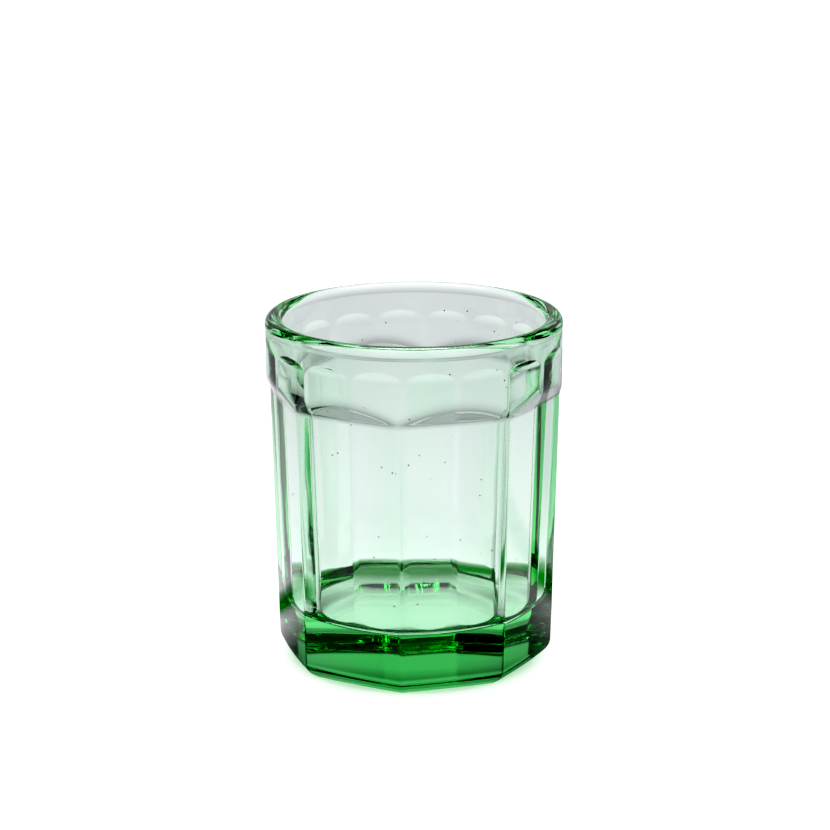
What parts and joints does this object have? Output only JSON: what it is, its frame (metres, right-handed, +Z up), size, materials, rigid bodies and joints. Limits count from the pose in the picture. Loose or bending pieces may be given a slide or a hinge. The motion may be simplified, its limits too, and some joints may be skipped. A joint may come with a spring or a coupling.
{
  "type": "drinking glass",
  "caption": "Pressed green glass tumbler with a rolled lip, arch-topped facets outside, arched panels inside and a heavy bevelled foot.",
  "frame": {"origin": "centre of the foot on the table", "axes": "+Z up along the glass's axis, out of the mouth; one outside facet faces -Y"},
  "size_m": [0.08, 0.08, 0.0958],
  "materials": {
    "green_glass": "fire-polished pressed glass"
  },
  "bodies": {
    "root": {"tumbler": "green_glass"}
  },
  "joints": []
}
